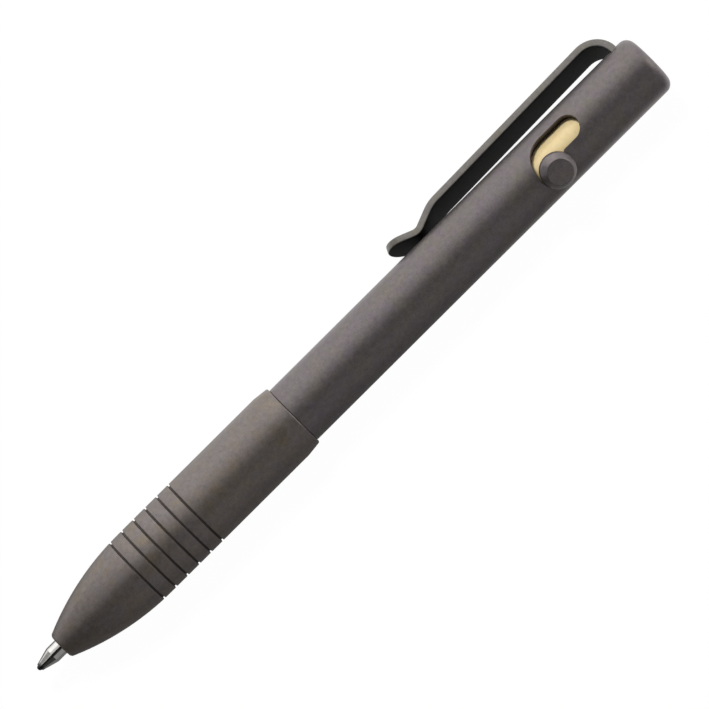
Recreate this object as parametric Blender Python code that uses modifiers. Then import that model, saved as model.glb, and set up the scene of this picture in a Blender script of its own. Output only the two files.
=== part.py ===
# Bolt action pen at full size, in metres, with +Z up.
# Every piece is built along the pen's own axis: stations run from the nose face (0) to the tail,
# and angles run round the axis from the clip. An empty then lays the pen on its side along +X,
# resting on its grip and on the edge of its clip.

import math

import bmesh
import bpy
from mathutils import Vector

# Grip section
GRIP_LENGTH = 0.0459
GRIP_RADIUS = 0.00552
NOSE_RADIUS = 0.00203
OGIVE_LENGTH = 0.0165
NOSE_EDGE = 0.0002
REAR_TAPER_LENGTH = 0.0015
REAR_TAPER_DEPTH = 0.00017
REAR_EDGE = 0.00015
GROOVE_COUNT = 6
FIRST_GROOVE = 0.0151
GROOVE_PITCH = 0.0023
GROOVE_WIDTH = 0.00034
GROOVE_DEPTH = 0.0003
GROOVE_FLOOR_SHARE = 0.6
NOSE_WALL = 0.0022
SPRING_CHAMBER_LENGTH = 0.0071
SPRING_CHAMBER_RADIUS = 0.0022
MOUTH_CHAMFER = 0.0003

# Barrel
BARREL_LENGTH = 0.07065
BARREL_RADIUS = 0.0048
TAIL_LAND = 0.00005
NECK_LENGTH = 0.0094
NECK_RADIUS = 0.00395
NECK_CHAMFER = 0.0003

# Slot for the bolt, as an end mill leaves it in the unrolled wall
SLOT_RADIUS = 0.0019
SLOT_ANGLE = math.radians(94.45)
SLOT_RUN_LENGTH = 0.003655
SLOT_INNER_ROUND = 0.0001
HOOK_SLANT = math.radians(10.0)

# Bolt: the knob and the brass plunger that it screws into
BOLT_REST_ANGLE = math.radians(133.1)
STEM_RADIUS = 0.0007
STEM_CLEARANCE = 0.00008
STEM_SEAT_GAP = 0.000334
KNOB_RADIUS = 0.002675
KNOB_FACE_RADIUS = 0.0019
KNOB_UNDERCUT = 0.00022
KNOB_RIM_HEIGHT = 0.00068
KNOB_CROWN = 0.00115
KNOB_EDGE = 0.0001
STEM_SOCKET_DEPTH = 0.0013
PLUNGER_NOSE = 0.00275
PLUNGER_COVER = 0.0013
PLUNGER_EDGE = 0.0002

# Clip, bent from strip
CLIP_THICKNESS = 0.00103
CLIP_WIDTH = 0.0057
CLIP_LEG_FROM_TAIL = 0.00268
CLIP_BEND_HEIGHT = 0.002945
CLIP_BEND_SINK = 0.000655
CLIP_SHOULDER_REACH = 0.03346
CLIP_SHOULDER_HEIGHT = 0.00223
CLIP_SHOULDER_RADIUS = 0.0055
CLIP_RAMP_LENGTH = 0.00395
CLIP_DIMPLE_RADIUS = 0.0017
CLIP_TIP_LENGTH = 0.00496
CLIP_TIP_HEIGHT = 0.0027
CLIP_EDGE = 0.0001
CLIP_PLAY = 0.00013
LEG_DEPTH = 0.00175
TAB_WIDTH = 0.003
TAB_TAPER = 0.0003
TAB_PAST_AXIS = 0.0012

# Plug that closes the tail, and the set screw in it that clamps the clip's tab
PLUG_EDGE = 0.0001
SCREW_RADIUS = 0.001
SCREW_LENGTH = 0.00327
SCREW_KEY_RADIUS = 0.00055
SCREW_KEY_DEPTH = 0.0011
SCREW_POINT = 0.0003

# Refill and its return spring
TIP_REACH = 0.0046
TIP_RADIUS = 0.00125
TIP_CONE_LENGTH = 0.00245
TIP_LIP_WALL = 0.00009
BALL_RADIUS = 0.00042
INK_BORE_RADIUS = 0.0006
INK_FEED_RADIUS = 0.0002
INK_FEED_LENGTH = 0.0012
REFILL_RADIUS = 0.00295
REFILL_CLEARANCE = 0.0003
REFILL_WALL = 0.0003
REFILL_SHOULDER_LENGTH = 0.0007
REFILL_SHOULDER_DROP = 0.0004
CAP_LENGTH = 0.0028
CAP_INSERT_LENGTH = 0.0022
CAP_BORE_RADIUS = 0.0015
CAP_BORE_DEPTH = 0.0018
CAP_NOTCH_WIDTH = 0.0009
CAP_NOTCH_DEPTH = 0.0011
WIRE_RADIUS = 0.0002
SPRING_TURNS = 7

# Fits
SEAT_GAP = 0.0001
RUNNING_GAP = 0.0001
PRESS_GAP = 0.00005
STOP_GAP = 0.0004
CUT_OVERRUN = 0.002

# Mesh resolution
GRIP_STEPS = 40
BARREL_STEPS = 64
FINE_STEPS = 32
SMALL_STEPS = 24
OGIVE_STEPS = 12
ARC_STEPS = 6
SLOT_ARC_STEPS = 9
SLOT_RUN_STEPS = 24
CLIP_COLUMNS = 4
TIP_ROUND_STEPS = 5
POINTS_PER_TURN = 10
MERGE_DISTANCE = 0.000001

# Radii that follow from the sizes above
BARREL_BORE_RADIUS = REFILL_RADIUS + REFILL_CLEARANCE
TAIL_ROUND = BARREL_RADIUS - BARREL_BORE_RADIUS - TAIL_LAND
PLUNGER_RADIUS = BARREL_BORE_RADIUS - RUNNING_GAP
PLUG_RADIUS = BARREL_BORE_RADIUS - PRESS_GAP
SPRING_RADIUS = (SPRING_CHAMBER_RADIUS + TIP_RADIUS) / 2
LEG_FOOT = BARREL_RADIUS - LEG_DEPTH
TAPER_FOOT = LEG_FOOT - TAB_TAPER
TAB_MIDDLE = (BARREL_RADIUS - TAB_PAST_AXIS) / 2

# The bolt's way, from its seat below the hook's slanted upper wall to the slot's far side
SLOT_BEND_RADIUS = SLOT_RADIUS + SLOT_INNER_ROUND
SLOT_TURN = math.pi / 2 - HOOK_SLANT
BEND_REACH = SLOT_BEND_RADIUS * (1 - math.cos(SLOT_TURN))
BEND_DROP = SLOT_BEND_RADIUS * math.sin(SLOT_TURN)
HOOK_REACH = (BOLT_REST_ANGLE - SLOT_ANGLE) * BARREL_RADIUS - BEND_REACH
HOOK_DROP = BEND_DROP + HOOK_REACH * math.tan(HOOK_SLANT)
SEAT_RISE = (SLOT_RADIUS - STEM_RADIUS - STEM_SEAT_GAP) / math.cos(HOOK_SLANT)
OPEN_SIDE = SLOT_RADIUS - STEM_RADIUS - STEM_CLEARANCE
BOLT_OPEN_ANGLE = SLOT_ANGLE - OPEN_SIDE / BARREL_RADIUS
BOLT_TRAVEL = HOOK_DROP + SLOT_RUN_LENGTH - SEAT_RISE

# Stations that follow from the sizes above, worked forward from the tail
TAIL = GRIP_LENGTH + SEAT_GAP + BARREL_LENGTH
LEG_STATION = TAIL - CLIP_LEG_FROM_TAIL
SCREW_POINT_STATION = LEG_STATION - CLIP_THICKNESS / 2 - CLIP_PLAY
PLUG_FRONT = SCREW_POINT_STATION - SCREW_LENGTH - SEAT_GAP
PLUNGER_REAR = PLUG_FRONT - STOP_GAP - BOLT_TRAVEL
SLOT_TOP = PLUNGER_REAR - PLUNGER_COVER - SLOT_RADIUS
SLOT_CORNER = SLOT_TOP - SLOT_RUN_LENGTH
HOOK_STATION = SLOT_CORNER - HOOK_DROP
BOLT_STATION = HOOK_STATION + SEAT_RISE
PLUNGER_FRONT = BOLT_STATION - PLUNGER_NOSE
REFILL_END = PLUNGER_FRONT - SEAT_GAP
NECK_FRONT = GRIP_LENGTH + SEAT_GAP - NECK_LENGTH
CHAMBER_END = NOSE_WALL + SPRING_CHAMBER_LENGTH
REFILL_FRONT = CHAMBER_END + 2 * SEAT_GAP


def clear_scene():
    """Start from an empty scene."""
    for item in list(bpy.data.objects):
        bpy.data.objects.remove(item, do_unlink=True)


def new_collection(name):
    """Make a collection in the scene."""
    made = bpy.data.collections.new(name)
    bpy.context.scene.collection.children.link(made)
    return made


def new_material(name, colour, metallic, roughness):
    """Make a plain Principled material."""
    material = bpy.data.materials.new(name)
    material.use_nodes = True
    shader = material.node_tree.nodes["Principled BSDF"]
    shader.inputs["Base Color"].default_value = (*colour, 1.0)
    shader.inputs["Metallic"].default_value = metallic
    shader.inputs["Roughness"].default_value = roughness
    material.diffuse_color = (*colour, 1.0)
    return material


clear_scene()
PARTS = new_collection("bolt_action_pen")
CUTTERS = new_collection("cutters")
PEN_AXIS = bpy.data.objects.new("pen_axis", None)
PARTS.objects.link(PEN_AXIS)

TITANIUM = new_material("blasted titanium", (0.14, 0.125, 0.115), 0.8, 0.5)
DARK_TITANIUM = new_material("blasted titanium grip", (0.14, 0.12, 0.105), 0.8, 0.5)
BRASS = new_material("brass", (0.75, 0.6, 0.28), 1.0, 0.3)
STEEL = new_material("bright steel", (0.62, 0.61, 0.58), 1.0, 0.25)
CARBIDE = new_material("carbide", (0.08, 0.08, 0.08), 0.8, 0.3)
SPRING_STEEL = new_material("spring steel", (0.5, 0.5, 0.5), 1.0, 0.35)
CAP_PLASTIC = new_material("cap plastic", (0.12, 0.13, 0.16), 0.0, 0.5)


def add_part(name, data, material):
    """Put a named piece on the pen's axis."""
    part = bpy.data.objects.new(name, data)
    PARTS.objects.link(part)
    part.parent = PEN_AXIS
    data.materials.append(material)
    return part


def add_cutter(name, data):
    """Put a cutter beside the parts, where it isn't rendered."""
    cutter = bpy.data.objects.new(name, data)
    CUTTERS.objects.link(cutter)
    cutter.parent = PEN_AXIS
    cutter.hide_render = True
    cutter.display_type = "WIRE"
    return cutter


def cut(part, cutter):
    """Take the cutter's shape out of a part."""
    boolean = part.modifiers.new(cutter.name, "BOOLEAN")
    boolean.operation = "DIFFERENCE"
    boolean.solver = "EXACT"
    boolean.object = cutter


def arc(centre, radius, start, end, steps):
    """Points on an arc in the profile's plane, as (radius, station), angles from +radius."""
    turns = [start + (end - start) * k / steps for k in range(steps + 1)]
    return [
        (centre[0] + radius * math.cos(t), centre[1] + radius * math.sin(t)) for t in turns
    ]


def turned_mesh(name, profile, closed):
    """A profile's points and edges, given from the tail down the outer side."""
    count = len(profile)
    edges = [(k, k + 1) for k in range(count - 1)]
    if closed:
        edges.append((count - 1, 0))
    mesh = bpy.data.meshes.new(name)
    mesh.from_pydata([(radius, 0.0, station) for radius, station in profile], edges, [])
    return mesh


def turn(part, steps):
    """Turn a profile once round its axis."""
    screw = part.modifiers.new("turned", "SCREW")
    screw.axis = "Z"
    screw.angle = math.tau
    screw.steps = steps
    screw.render_steps = steps
    screw.use_merge_vertices = True
    screw.merge_threshold = MERGE_DISTANCE
    screw.use_smooth_shade = True


def turned_part(name, profile, closed, steps, material):
    """A piece made on a lathe: closed for a tube, open where the profile ends on the axis."""
    part = add_part(name, turned_mesh(name, profile, closed), material)
    turn(part, steps)
    return part


def box_cutter(name, low, high):
    """A box between two corners."""
    low, high = Vector(low), Vector(high)
    mesh = bpy.data.meshes.new(name)
    shape = bmesh.new()
    bmesh.ops.create_cube(shape, size=1.0)
    bmesh.ops.scale(shape, vec=high - low, verts=shape.verts)
    bmesh.ops.translate(shape, vec=(low + high) / 2, verts=shape.verts)
    shape.to_mesh(mesh)
    shape.free()
    return add_cutter(name, mesh)


def rod_cutter(name, radius, low, high, sides):
    """A rod along the local Z axis, from low to high."""
    mesh = bpy.data.meshes.new(name)
    shape = bmesh.new()
    bmesh.ops.create_cone(
        shape, cap_ends=True, segments=sides, radius1=radius, radius2=radius, depth=high - low
    )
    bmesh.ops.translate(shape, vec=(0.0, 0.0, (low + high) / 2), verts=shape.verts)
    shape.to_mesh(mesh)
    shape.free()
    return add_cutter(name, mesh)


def point_radially(item, station, angle):
    """Turn a piece so that its local Z axis leaves the pen's axis at an angle."""
    item.location = (0.0, 0.0, station)
    item.rotation_euler = (0.0, math.pi / 2, angle)


# Grip section
def grip_surface(station):
    """The grip's radius: an ogive that runs tangent into the straight grip."""
    if station >= OGIVE_LENGTH:
        return GRIP_RADIUS
    rise = GRIP_RADIUS - NOSE_RADIUS
    ogive = (OGIVE_LENGTH**2 + rise**2) / (2 * rise)
    return GRIP_RADIUS - ogive + math.sqrt(ogive**2 - (OGIVE_LENGTH - station) ** 2)


def groove(station):
    """One turned groove, from its tail side to its nose side."""
    half = GROOVE_WIDTH / 2
    floor_half = half * GROOVE_FLOOR_SHARE
    floor = grip_surface(station) - GROOVE_DEPTH
    return [
        (grip_surface(station + half), station + half),
        (floor, station + floor_half),
        (floor, station - floor_half),
        (grip_surface(station - half), station - half),
    ]


def make_grip():
    """The grip section, with its nose bore, spring chamber and threaded mouth."""
    rear_radius = GRIP_RADIUS - REAR_TAPER_DEPTH
    profile = [
        (rear_radius - REAR_EDGE, GRIP_LENGTH),
        (rear_radius, GRIP_LENGTH - REAR_EDGE),
        (GRIP_RADIUS, GRIP_LENGTH - REAR_TAPER_LENGTH),
    ]
    for k in reversed(range(GROOVE_COUNT)):
        profile += groove(FIRST_GROOVE + k * GROOVE_PITCH)
    front = FIRST_GROOVE - GROOVE_WIDTH / 2
    for k in reversed(range(1, OGIVE_STEPS)):
        station = front * k / OGIVE_STEPS
        profile.append((grip_surface(station), station))
    bore = REFILL_RADIUS + 2 * RUNNING_GAP
    mouth = NECK_RADIUS + RUNNING_GAP
    thread_front = NECK_FRONT - SEAT_GAP
    tip_bore = TIP_RADIUS + RUNNING_GAP
    profile += [
        (grip_surface(NOSE_EDGE), NOSE_EDGE),
        (NOSE_RADIUS - NOSE_EDGE, 0.0),
        (tip_bore, 0.0),
        (tip_bore, NOSE_WALL),
        (SPRING_CHAMBER_RADIUS, NOSE_WALL),
        (SPRING_CHAMBER_RADIUS, CHAMBER_END),
        (bore, CHAMBER_END),
        (bore, thread_front),
        (mouth, thread_front),
        (mouth, GRIP_LENGTH - MOUTH_CHAMFER),
        (mouth + MOUTH_CHAMFER, GRIP_LENGTH),
    ]
    return turned_part("grip_section", profile, True, GRIP_STEPS, DARK_TITANIUM)


# Slot: outlines in the unrolled wall, each point as (mill's centre, offset from it)
def unrolled(angle, station):
    """A place on the barrel's wall, rolled out flat."""
    return Vector((angle * BARREL_RADIUS, station))


def end_arc(centre, direction, radius):
    """Half a circle round a run's end, from its right side to its left."""
    start = math.atan2(direction.y, direction.x) - math.pi / 2
    half_circle = arc((0.0, 0.0), radius, start, start + math.pi, SLOT_ARC_STEPS)
    return [(centre, Vector(offset)) for offset in half_circle]


def run_side(first, last, radius):
    """The right-hand wall of a run between its ends, without the ends."""
    along = (last - first).normalized()
    offset = Vector((along.y, -along.x)) * radius
    shares = [k / SLOT_RUN_STEPS for k in range(1, SLOT_RUN_STEPS)]
    return [(first.lerp(last, share), offset) for share in shares]


def straight_run(first, last, radius):
    """The outline that a mill leaves along one straight run."""
    along = last - first
    return (
        run_side(first, last, radius)
        + end_arc(last, along, radius)
        + run_side(last, first, radius)
        + end_arc(first, -along, radius)
    )


def bent_run(first, corner, last, bend_radius, radius):
    """The outline that a mill leaves along two runs with a round left bend after the corner."""
    along = (corner - first).normalized()
    across = Vector((-along.y, along.x))
    middle = corner + across * bend_radius
    start = math.atan2(-across.y, -across.x)
    outward = [Vector(c) for c in arc((0.0, 0.0), 1.0, start, start + SLOT_TURN, SLOT_ARC_STEPS)]
    bend = [(middle + direction * bend_radius, direction * radius) for direction in outward]
    turned_in = [(centre, -offset) for centre, offset in (bend[-1], bend[len(bend) // 2], bend[0])]
    onward = (last - bend[-1][0]).normalized()
    return (
        bend
        + run_side(bend[-1][0], last, radius)
        + end_arc(last, onward, radius)
        + run_side(last, bend[-1][0], radius)
        + turned_in
        + end_arc(first, -along, radius)
    )


def slot_cutter(name, outline):
    """A flat outline, extruded and bent round the pen's axis as the mill turns with it."""
    curve = bpy.data.curves.new(name, "CURVE")
    curve.dimensions = "2D"
    curve.fill_mode = "BOTH"
    curve.extrude = (BARREL_RADIUS + CUT_OVERRUN) / 2
    spline = curve.splines.new("POLY")
    spline.points.add(len(outline) - 1)
    for point, (centre, offset) in zip(spline.points, outline):
        point.co = (*(centre + offset), 0.0, 1.0)
    spline.use_cyclic_u = True
    flat = bpy.data.objects.new(name, curve)
    CUTTERS.objects.link(flat)
    mesh = bpy.data.meshes.new_from_object(flat.evaluated_get(bpy.context.evaluated_depsgraph_get()))
    bpy.data.objects.remove(flat, do_unlink=True)
    shape = bmesh.new()
    shape.from_mesh(mesh)
    bmesh.ops.remove_doubles(shape, verts=shape.verts, dist=MERGE_DISTANCE)
    for vert in shape.verts:
        place = vert.co.xy
        centre, offset = min(outline, key=lambda item: (item[0] + item[1] - place).length)
        angle = centre.x / BARREL_RADIUS
        outward = Vector((math.cos(angle), math.sin(angle), 0.0))
        round_axis = Vector((-math.sin(angle), math.cos(angle), 0.0))
        depth = BARREL_RADIUS + CUT_OVERRUN if vert.co.z > 0 else BARREL_BORE_RADIUS / 2
        vert.co = outward * depth + round_axis * offset.x
        vert.co.z = centre.y + offset.y
    bmesh.ops.recalc_face_normals(shape, faces=shape.faces)
    if shape.calc_volume(signed=True) < 0:
        bmesh.ops.reverse_faces(shape, faces=shape.faces)
    shape.to_mesh(mesh)
    shape.free()
    return add_cutter(name, mesh)


# Barrel
def leg_cutter(name, foot, width):
    """The opening that the clip's leg passes through, down to a foot radius."""
    half_length = CLIP_THICKNESS / 2 + CLIP_PLAY
    half_width = width / 2 + CLIP_PLAY
    low = (foot - CLIP_PLAY, -half_width, LEG_STATION - half_length)
    high = (BARREL_RADIUS + CUT_OVERRUN, half_width, LEG_STATION + half_length)
    return box_cutter(name, low, high)


def make_barrel():
    """The barrel, with its threaded neck, J-shaped slot and clip opening."""
    rounding = arc(
        (BARREL_RADIUS - TAIL_ROUND, TAIL - TAIL_ROUND), TAIL_ROUND, math.pi / 2, 0.0, ARC_STEPS
    )
    profile = [
        (BARREL_BORE_RADIUS, TAIL),
        *rounding,
        (BARREL_RADIUS, GRIP_LENGTH + SEAT_GAP),
        (NECK_RADIUS, GRIP_LENGTH + SEAT_GAP),
        (NECK_RADIUS, NECK_FRONT + NECK_CHAMFER),
        (NECK_RADIUS - NECK_CHAMFER, NECK_FRONT),
        (BARREL_BORE_RADIUS, NECK_FRONT),
    ]
    barrel = turned_part("barrel", profile, True, BARREL_STEPS, TITANIUM)
    outline = bent_run(
        unrolled(SLOT_ANGLE, SLOT_TOP),
        unrolled(SLOT_ANGLE, SLOT_CORNER),
        unrolled(BOLT_REST_ANGLE, HOOK_STATION),
        SLOT_BEND_RADIUS,
        SLOT_RADIUS,
    )
    cut(barrel, slot_cutter("slot_cutter", outline))
    relief = straight_run(
        unrolled(BOLT_REST_ANGLE, BOLT_STATION),
        unrolled(BOLT_OPEN_ANGLE, SLOT_TOP),
        STEM_RADIUS + STEM_CLEARANCE,
    )
    cut(barrel, slot_cutter("slot_corner_cutter", relief))
    cut(barrel, leg_cutter("clip_leg_cutter", TAPER_FOOT, CLIP_WIDTH))
    return barrel


# Tail plug and its set screw
def make_end_plug():
    """The plug pressed into the tail, slotted for the clip's tab."""
    hole = SCREW_RADIUS + RUNNING_GAP
    profile = [
        (0.0, TAIL),
        (PLUG_RADIUS - PLUG_EDGE, TAIL),
        (PLUG_RADIUS, TAIL - PLUG_EDGE),
        (PLUG_RADIUS, PLUG_FRONT),
        (hole, PLUG_FRONT),
        (hole, LEG_STATION),
        (0.0, LEG_STATION),
    ]
    plug = turned_part("end_plug", profile, False, BARREL_STEPS, TITANIUM)
    cut(plug, leg_cutter("plug_leg_cutter", TAPER_FOOT, CLIP_WIDTH))
    cut(plug, leg_cutter("plug_tab_cutter", -TAB_PAST_AXIS, TAB_WIDTH))
    return plug


def make_clip_screw():
    """The set screw that clamps the clip's tab from inside the barrel."""
    front = SCREW_POINT_STATION - SCREW_LENGTH
    profile = [
        (0.0, SCREW_POINT_STATION),
        (SCREW_RADIUS - SCREW_POINT, SCREW_POINT_STATION),
        (SCREW_RADIUS, SCREW_POINT_STATION - SCREW_POINT),
        (SCREW_RADIUS, front),
        (0.0, front),
    ]
    screw = turned_part("clip_screw", profile, False, SMALL_STEPS, STEEL)
    key = rod_cutter(
        "clip_screw_key_cutter", SCREW_KEY_RADIUS, front - CUT_OVERRUN, front + SCREW_KEY_DEPTH, 6
    )
    cut(screw, key)
    return screw


# Clip
def rounded_path(corners, radii):
    """A path through corners, each inner one rounded with its own radius."""
    corners = [Vector(c) for c in corners]
    path = [corners[0]]
    for before, corner, after, radius in zip(corners, corners[1:], corners[2:], radii):
        arriving = (corner - before).normalized()
        leaving = (after - corner).normalized()
        half_turn = math.acos(max(-1.0, min(1.0, arriving.dot(leaving)))) / 2
        back = radius * math.tan(half_turn)
        middle = (leaving - arriving).normalized()
        centre = corner + middle * radius / math.cos(half_turn)
        start = corner - arriving * back - centre
        turning = arriving.x * leaving.y - arriving.y * leaving.x
        sweep = 2 * half_turn if turning > 0 else -2 * half_turn
        steps = max(3, round(ARC_STEPS * abs(sweep)))
        for k in range(steps + 1):
            spin = sweep * k / steps
            c, s = math.cos(spin), math.sin(spin)
            path.append(centre + Vector((start.x * c - start.y * s, start.x * s + start.y * c)))
    return path + [corners[-1]]


def clip_stations(path):
    """Each cross-section of the strip, from its round tip to its tab: (place, half width)."""
    reach = [0.0]
    for a, b in zip(path, path[1:]):
        reach.append(reach[-1] + (b - a).length)

    def place(distance):
        k = max(i for i, r in enumerate(reach[:-1]) if r <= distance)
        share = (distance - reach[k]) / (reach[k + 1] - reach[k])
        return path[k].lerp(path[k + 1], share)

    half = CLIP_WIDTH / 2
    stations = []
    for k in range(1, TIP_ROUND_STEPS + 1):
        turn_in = math.pi / 2 * k / (TIP_ROUND_STEPS + 1)
        distance = half * (1 - math.cos(turn_in)) - half * (1 - math.cos(
            math.pi / 2 / (TIP_ROUND_STEPS + 1)))
        stations.append((place(distance), half * math.sin(turn_in)))
    stations.append((place(half), half))
    leg_end = reach[-1] - (LEG_FOOT + TAB_PAST_AXIS)
    stations += [(p, half) for p, r in zip(path, reach) if half < r < leg_end]
    stations.append((place(leg_end), half))
    stations.append((place(leg_end + TAB_TAPER), TAB_WIDTH / 2))
    stations.append((path[-1], TAB_WIDTH / 2))
    return stations


def make_clip():
    """The clip: a strip bent over the barrel, sprung down at its dimple."""
    shoulder = LEG_STATION - CLIP_SHOULDER_REACH
    dimple = shoulder - CLIP_RAMP_LENGTH
    corners = [
        (BARREL_RADIUS + CLIP_TIP_HEIGHT, dimple - CLIP_TIP_LENGTH),
        (BARREL_RADIUS + CLIP_THICKNESS / 2, dimple),
        (BARREL_RADIUS + CLIP_SHOULDER_HEIGHT, shoulder),
        (BARREL_RADIUS + CLIP_BEND_HEIGHT, LEG_STATION),
        (-TAB_PAST_AXIS, LEG_STATION),
    ]
    radii = [CLIP_DIMPLE_RADIUS, CLIP_SHOULDER_RADIUS, CLIP_BEND_HEIGHT + CLIP_BEND_SINK]
    stations = clip_stations(rounded_path(corners, radii))
    mesh = bpy.data.meshes.new("clip")
    shape = bmesh.new()
    bmesh.ops.create_grid(
        shape, x_segments=len(stations) - 1, y_segments=CLIP_COLUMNS, size=1.0
    )
    for vert in shape.verts:
        row = round((vert.co.x + 1) / 2 * (len(stations) - 1))
        place, half = stations[row]
        vert.co = (place.x - TAB_MIDDLE, vert.co.y * half, place.y - LEG_STATION)
    shape.to_mesh(mesh)
    shape.free()
    clip = add_part("clip", mesh, TITANIUM)
    clip.location = (TAB_MIDDLE, 0.0, LEG_STATION)
    solid = clip.modifiers.new("thickness", "SOLIDIFY")
    solid.thickness = CLIP_THICKNESS
    solid.offset = 0.0
    solid.use_even_offset = True
    bevel = clip.modifiers.new("broken edges", "BEVEL")
    bevel.width = CLIP_EDGE
    bevel.segments = 1
    bevel.limit_method = "ANGLE"
    bevel.angle_limit = math.radians(50)
    return clip


# Bolt
def make_bolt_knob():
    """The knob on its stem, turned about the stem's own axis."""
    under = BARREL_RADIUS + KNOB_UNDERCUT
    rim = under + KNOB_RIM_HEIGHT
    crown = rim + KNOB_CROWN
    foot = PLUNGER_RADIUS - STEM_SOCKET_DEPTH + SEAT_GAP
    shoulder = (KNOB_RADIUS + KNOB_FACE_RADIUS) / 2
    profile = [
        (0.0, crown),
        (KNOB_FACE_RADIUS, crown),
        (shoulder, crown - KNOB_CROWN / 3),
        (KNOB_RADIUS - KNOB_EDGE, rim),
        (KNOB_RADIUS, rim - KNOB_EDGE),
        (KNOB_RADIUS, under + KNOB_EDGE),
        (KNOB_RADIUS - KNOB_EDGE, under),
        (STEM_RADIUS, under),
        (STEM_RADIUS, foot),
        (0.0, foot),
    ]
    knob = turned_part("bolt_knob", profile, False, FINE_STEPS, TITANIUM)
    point_radially(knob, BOLT_STATION, BOLT_REST_ANGLE)
    return knob


def make_plunger():
    """The brass plunger that the knob screws into."""
    profile = [
        (0.0, PLUNGER_REAR),
        (PLUNGER_RADIUS - PLUNGER_EDGE, PLUNGER_REAR),
        (PLUNGER_RADIUS, PLUNGER_REAR - PLUNGER_EDGE),
        (PLUNGER_RADIUS, PLUNGER_FRONT + PLUNGER_EDGE),
        (PLUNGER_RADIUS - PLUNGER_EDGE, PLUNGER_FRONT),
        (0.0, PLUNGER_FRONT),
    ]
    plunger = turned_part("plunger", profile, False, FINE_STEPS, BRASS)
    socket = rod_cutter(
        "stem_socket_cutter",
        STEM_RADIUS + PRESS_GAP,
        PLUNGER_RADIUS - STEM_SOCKET_DEPTH,
        PLUNGER_RADIUS + CUT_OVERRUN,
        SMALL_STEPS,
    )
    point_radially(socket, BOLT_STATION, BOLT_REST_ANGLE)
    cut(plunger, socket)
    return plunger


# Refill
def make_refill_tube():
    """The refill's metal tube, necked in at the front round the writing point."""
    inner = REFILL_RADIUS - REFILL_WALL
    neck = TIP_RADIUS + PRESS_GAP
    rear = REFILL_END - CAP_LENGTH - SEAT_GAP
    profile = [
        (inner, rear),
        (REFILL_RADIUS, rear),
        (REFILL_RADIUS, REFILL_FRONT + REFILL_SHOULDER_LENGTH),
        (REFILL_RADIUS - REFILL_SHOULDER_DROP, REFILL_FRONT),
        (neck, REFILL_FRONT),
        (neck, REFILL_FRONT + REFILL_SHOULDER_LENGTH),
        (inner, REFILL_FRONT + 2 * REFILL_SHOULDER_LENGTH),
    ]
    return turned_part("refill_tube", profile, True, FINE_STEPS, STEEL)


def make_writing_point():
    """The writing point: a cone and tube, bored for the ink, with the ball's seat at its end."""
    lip = BALL_RADIUS - TIP_REACH
    seat = BALL_RADIUS + PRESS_GAP
    rear = REFILL_FRONT + REFILL_SHOULDER_LENGTH
    profile = [
        (INK_BORE_RADIUS, rear),
        (TIP_RADIUS, rear),
        (TIP_RADIUS, lip + TIP_CONE_LENGTH),
        (seat + TIP_LIP_WALL, lip),
        (seat, lip),
        (seat, lip + seat),
        (INK_FEED_RADIUS, lip + seat + INK_FEED_RADIUS),
        (INK_FEED_RADIUS, lip + seat + INK_FEED_LENGTH),
        (INK_BORE_RADIUS, lip + seat + INK_FEED_LENGTH + INK_BORE_RADIUS),
    ]
    return turned_part("writing_point", profile, True, SMALL_STEPS, STEEL)


def make_ball():
    """The ball in the writing point."""
    mesh = bpy.data.meshes.new("tip_ball")
    shape = bmesh.new()
    bmesh.ops.create_uvsphere(shape, u_segments=16, v_segments=8, radius=BALL_RADIUS)
    shape.to_mesh(mesh)
    shape.free()
    mesh.shade_smooth()
    ball = add_part("tip_ball", mesh, CARBIDE)
    ball.location = (0.0, 0.0, BALL_RADIUS - TIP_REACH)
    return ball


def make_refill_cap():
    """The notched plastic cap that closes the refill's rear end."""
    insert = REFILL_RADIUS - REFILL_WALL - PRESS_GAP
    step = REFILL_END - CAP_LENGTH
    profile = [
        (CAP_BORE_RADIUS, REFILL_END),
        (REFILL_RADIUS - PLUNGER_EDGE, REFILL_END),
        (REFILL_RADIUS, REFILL_END - PLUNGER_EDGE),
        (REFILL_RADIUS, step),
        (insert, step),
        (insert, step - CAP_INSERT_LENGTH),
        (0.0, step - CAP_INSERT_LENGTH),
    ]
    floor = [(0.0, REFILL_END - CAP_BORE_DEPTH), (CAP_BORE_RADIUS, REFILL_END - CAP_BORE_DEPTH)]
    cap = turned_part("refill_cap", floor + profile, False, SMALL_STEPS, CAP_PLASTIC)
    reach = REFILL_RADIUS + CUT_OVERRUN
    half = CAP_NOTCH_WIDTH / 2
    low, high = REFILL_END - CAP_NOTCH_DEPTH, REFILL_END + CUT_OVERRUN
    cut(cap, box_cutter("cap_notch_cutter", (-reach, -half, low), (reach, half, high)))
    cut(cap, box_cutter("cap_cross_notch_cutter", (-half, -reach, low), (half, reach, high)))
    return cap


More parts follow.
